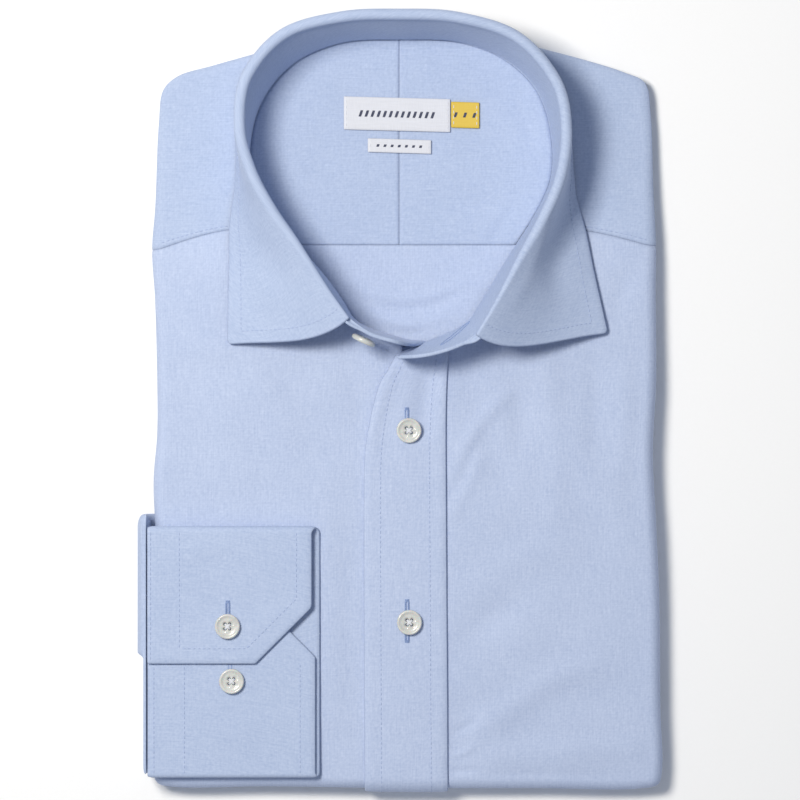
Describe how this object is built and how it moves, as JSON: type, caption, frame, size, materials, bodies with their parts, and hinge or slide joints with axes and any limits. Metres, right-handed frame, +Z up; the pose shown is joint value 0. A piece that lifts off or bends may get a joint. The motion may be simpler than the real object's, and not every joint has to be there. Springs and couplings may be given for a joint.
{
  "type": "long sleeve dress shirt, folded for display",
  "caption": "Blue cotton dress shirt folded flat for display, with a standing spread collar, a placket front and a mitred cuff laid across the lower front.",
  "frame": {"origin": "on the resting surface, under the middle of the folded shirt", "axes": "+X to the buttonhole side's folded edge, +Y to the collar, +Z up from the surface"},
  "size_m": [0.2363, 0.3526, 0.0472],
  "materials": {
    "shirting": "fine blue cotton twill with faint lengthwise slubs, matt",
    "label_white": "woven satin tape, off-white",
    "label_yellow": "woven satin tape, yellow",
    "button": "pale pearly resin, lightly polished"
  },
  "bodies": {
    "root": {"folded_core": "shirting", "front_button_side": "shirting", "front_buttonhole_side": "shirting", "placket": "shirting", "yoke_outside_left": "shirting", "yoke_outside_right": "shirting", "yoke_inside_left": "shirting", "yoke_inside_right": "shirting", "back_inside": "shirting", "collar_stand": "shirting", "collar_leaf": "shirting", "cuff": "shirting", "sleeve": "shirting", "label_wide": "label_white", "label_narrow": "label_white", "label_tab": "label_yellow", "button_front_upper": "button", "button_front_lower": "button", "button_cuff_upper": "button", "button_cuff_lower": "button", "button_collar": "button"}
  },
  "joints": []
}
